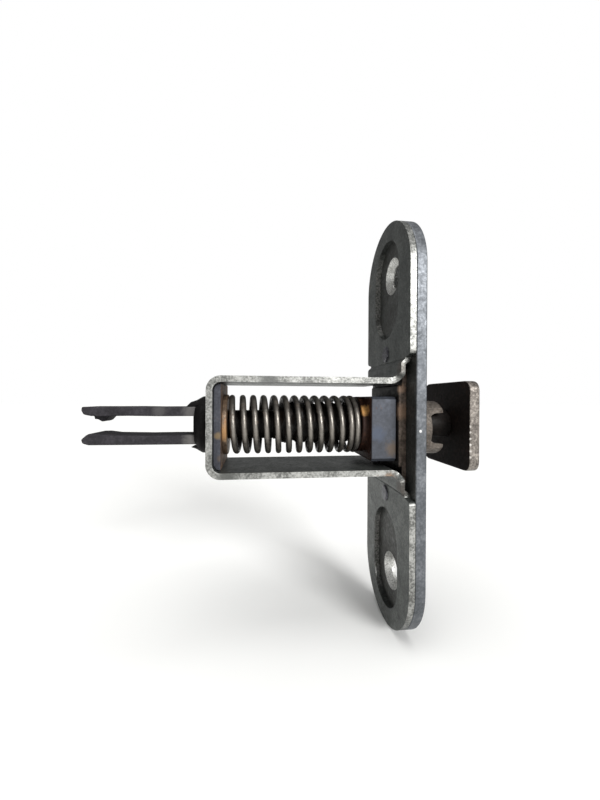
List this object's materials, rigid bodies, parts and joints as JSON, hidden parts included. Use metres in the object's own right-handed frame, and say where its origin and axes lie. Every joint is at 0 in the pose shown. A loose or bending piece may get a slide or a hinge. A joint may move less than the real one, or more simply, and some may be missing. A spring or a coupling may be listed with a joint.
{
  "type": "spring plunger latch",
  "caption": "Sprung T-head plunger latch: an oval screw-on face plate and a bent strap frame guide a rod with a coil spring and a forked, hooked tail.",
  "frame": {"origin": "on the plunger's axis at the front surface of the face plate, midway between the two screw holes", "axes": "+X along the plunger, out of the front of the face plate; +Z along the face plate; +Y across it"},
  "size_m": [0.0797, 0.025, 0.088],
  "materials": {
    "plate_steel": "worn zinc plate",
    "strap_steel": "worn zinc plate",
    "rusty_steel": "light rust",
    "dark_steel": "dull",
    "block_iron": "dark oiled",
    "head_steel": "worn",
    "spring_steel": "worn wire",
    "black_iron": "blackened",
    "tine_steel": "dark worn"
  },
  "bodies": {
    "frame": {"face_plate": "plate_steel", "strap_frame": "strap_steel", "guide_plate": "rusty_steel", "plate_rivets": "strap_steel", "rear_plate": "strap_steel", "spring_seat": "rusty_steel"},
    "plunger": {"plunger_rod": "dark_steel", "plunger_block": "block_iron", "block_pin": "dark_steel", "neck_sleeve": "rusty_steel", "grip_head": "head_steel", "spring": "spring_steel", "tail_hub": "black_iron", "upper_tine": "tine_steel", "lower_tine": "tine_steel", "tail_pin": "dark_steel"}
  },
  "joints": [
    {"name": "plunger_slide", "type": "slide", "parent": "frame", "child": "plunger", "axis": [-1, 0, 0], "range_m": [0, 0.009], "stiffness_N_per_m": 600, "springref_m": -0.006, "deforming": ["spring"]}
  ]
}
